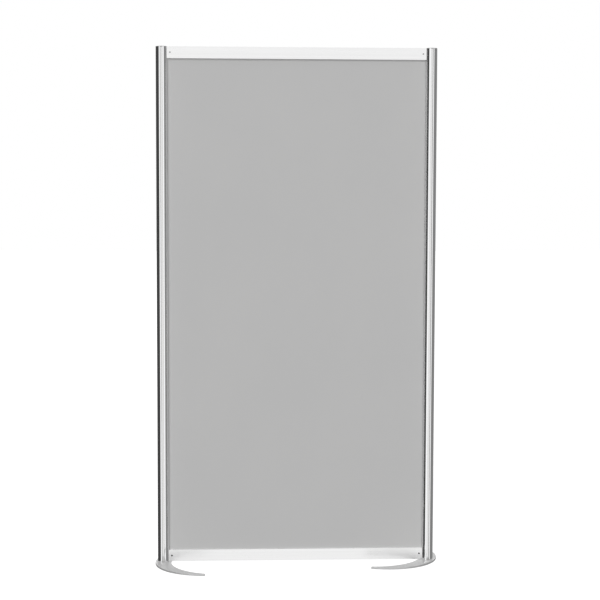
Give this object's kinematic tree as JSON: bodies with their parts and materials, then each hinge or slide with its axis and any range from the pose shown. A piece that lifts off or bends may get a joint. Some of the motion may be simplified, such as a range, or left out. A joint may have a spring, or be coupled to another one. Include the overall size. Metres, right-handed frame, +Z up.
{
  "type": "partition wall",
  "caption": "Free-standing partition wall bay: round slotted aluminium posts, top and bottom rails with tension locks, a plain infill panel and swivelling half-moon feet.",
  "frame": {"origin": "on the floor, midway between the two post axes, in the middle plane of the panel", "axes": "+X along the wall to the right as seen from the front, +Y to the back, +Z up"},
  "size_m": [1.0278, 0.4189, 1.854],
  "materials": {
    "post_aluminium": "satin anodised, drawn lines along the length",
    "rail_aluminium": "bright satin anodised, fine lines along the length",
    "panel_laminate": "smooth matt mid-grey",
    "foot_coating": "silver-grey powder coat, satin",
    "cap_plastic": "moulded grey",
    "gasket_rubber": "extruded, matt",
    "pad_rubber": "moulded, matt",
    "zinc_steel": "zinc plated",
    "cam_steel": "turned, plain",
    "claw_steel": "spring steel",
    "washer_plastic": "natural nylon"
  },
  "bodies": {
    "wall": {"left_post": "post_aluminium", "left_post_cap": "cap_plastic", "left_edge_gasket": "gasket_rubber", "left_foot_screw": "zinc_steel", "left_post_insert": "zinc_steel", "left_slide_washer": "washer_plastic", "right_post": "post_aluminium", "right_post_cap": "cap_plastic", "right_edge_gasket": "gasket_rubber", "right_foot_screw": "zinc_steel", "right_post_insert": "zinc_steel", "right_slide_washer": "washer_plastic", "top_rail": "rail_aluminium", "bottom_rail": "rail_aluminium", "infill_panel": "panel_laminate", "lock_pins": "cam_steel", "lock_springs": "claw_steel", "top_left_lock_case": "zinc_steel", "top_right_lock_case": "zinc_steel", "bottom_left_lock_case": "zinc_steel", "bottom_right_lock_case": "zinc_steel"},
    "left_foot": {"left_foot": "foot_coating", "left_foot_pads": "pad_rubber"},
    "right_foot": {"right_foot": "foot_coating", "right_foot_pads": "pad_rubber"},
    "top_left_cam": {"top_left_cam": "cam_steel"},
    "top_left_front_claw": {"top_left_front_claw": "claw_steel"},
    "top_left_rear_claw": {"top_left_rear_claw": "claw_steel"},
    "top_right_cam": {"top_right_cam": "cam_steel"},
    "top_right_front_claw": {"top_right_front_claw": "claw_steel"},
    "top_right_rear_claw": {"top_right_rear_claw": "claw_steel"},
    "bottom_left_cam": {"bottom_left_cam": "cam_steel"},
    "bottom_left_front_claw": {"bottom_left_front_claw": "claw_steel"},
    "bottom_left_rear_claw": {"bottom_left_rear_claw": "claw_steel"},
    "bottom_right_cam": {"bottom_right_cam": "cam_steel"},
    "bottom_right_front_claw": {"bottom_right_front_claw": "claw_steel"},
    "bottom_right_rear_claw": {"bottom_right_rear_claw": "claw_steel"}
  },
  "joints": [
    {"name": "left_foot_swivel", "type": "hinge", "parent": "wall", "child": "left_foot", "pos_m": [-0.48, 0, 0.0035], "axis": [0, 0, 1], "continuous": true},
    {"name": "right_foot_swivel", "type": "hinge", "parent": "wall", "child": "right_foot", "pos_m": [0.48, 0, 0.0035], "axis": [0, 0, 1], "continuous": true},
    {"name": "top_left_cam_turn", "type": "hinge", "parent": "wall", "child": "top_left_cam", "pos_m": [-0.4495, 0, 1.833], "axis": [0, -1, 0], "range_deg": [0, 90]},
    {"name": "top_left_front_claw_swing", "type": "hinge", "parent": "wall", "child": "top_left_front_claw", "pos_m": [-0.4335, 0, 1.833], "axis": [0, 0, -1], "range_deg": [0, 3.3]},
    {"name": "top_left_rear_claw_swing", "type": "hinge", "parent": "wall", "child": "top_left_rear_claw", "pos_m": [-0.4335, 0, 1.833], "axis": [0, 0, 1], "range_deg": [0, 3.3]},
    {"name": "top_right_cam_turn", "type": "hinge", "parent": "wall", "child": "top_right_cam", "pos_m": [0.4495, 0, 1.833], "axis": [0, -1, 0], "range_deg": [0, 90]},
    {"name": "top_right_front_claw_swing", "type": "hinge", "parent": "wall", "child": "top_right_front_claw", "pos_m": [0.4335, 0, 1.833], "axis": [0, 0, 1], "range_deg": [0, 3.3]},
    {"name": "top_right_rear_claw_swing", "type": "hinge", "parent": "wall", "child": "top_right_rear_claw", "pos_m": [0.4335, 0, 1.833], "axis": [0, 0, -1], "range_deg": [0, 3.3]},
    {"name": "bottom_left_cam_turn", "type": "hinge", "parent": "wall", "child": "bottom_left_cam", "pos_m": [-0.4495, 0, 0.028], "axis": [0, -1, 0], "range_deg": [0, 90]},
    {"name": "bottom_left_front_claw_swing", "type": "hinge", "parent": "wall", "child": "bottom_left_front_claw", "pos_m": [-0.4335, 0, 0.028], "axis": [0, 0, -1], "range_deg": [0, 3.3]},
    {"name": "bottom_left_rear_claw_swing", "type": "hinge", "parent": "wall", "child": "bottom_left_rear_claw", "pos_m": [-0.4335, 0, 0.028], "axis": [0, 0, 1], "range_deg": [0, 3.3]},
    {"name": "bottom_right_cam_turn", "type": "hinge", "parent": "wall", "child": "bottom_right_cam", "pos_m": [0.4495, 0, 0.028], "axis": [0, -1, 0], "range_deg": [0, 90]},
    {"name": "bottom_right_front_claw_swing", "type": "hinge", "parent": "wall", "child": "bottom_right_front_claw", "pos_m": [0.4335, 0, 0.028], "axis": [0, 0, 1], "range_deg": [0, 3.3]},
    {"name": "bottom_right_rear_claw_swing", "type": "hinge", "parent": "wall", "child": "bottom_right_rear_claw", "pos_m": [0.4335, 0, 0.028], "axis": [0, 0, -1], "range_deg": [0, 3.3]}
  ],
  "couplings": [
    {"joint": "top_left_front_claw_swing", "follows": "top_left_cam_turn", "ratio": 0.0355},
    {"joint": "top_left_rear_claw_swing", "follows": "top_left_cam_turn", "ratio": 0.0355},
    {"joint": "top_right_front_claw_swing", "follows": "top_right_cam_turn", "ratio": 0.0355},
    {"joint": "top_right_rear_claw_swing", "follows": "top_right_cam_turn", "ratio": 0.0355},
    {"joint": "bottom_left_front_claw_swing", "follows": "bottom_left_cam_turn", "ratio": 0.0355},
    {"joint": "bottom_left_rear_claw_swing", "follows": "bottom_left_cam_turn", "ratio": 0.0355},
    {"joint": "bottom_right_front_claw_swing", "follows": "bottom_right_cam_turn", "ratio": 0.0355},
    {"joint": "bottom_right_rear_claw_swing", "follows": "bottom_right_cam_turn", "ratio": 0.0355}
  ]
}
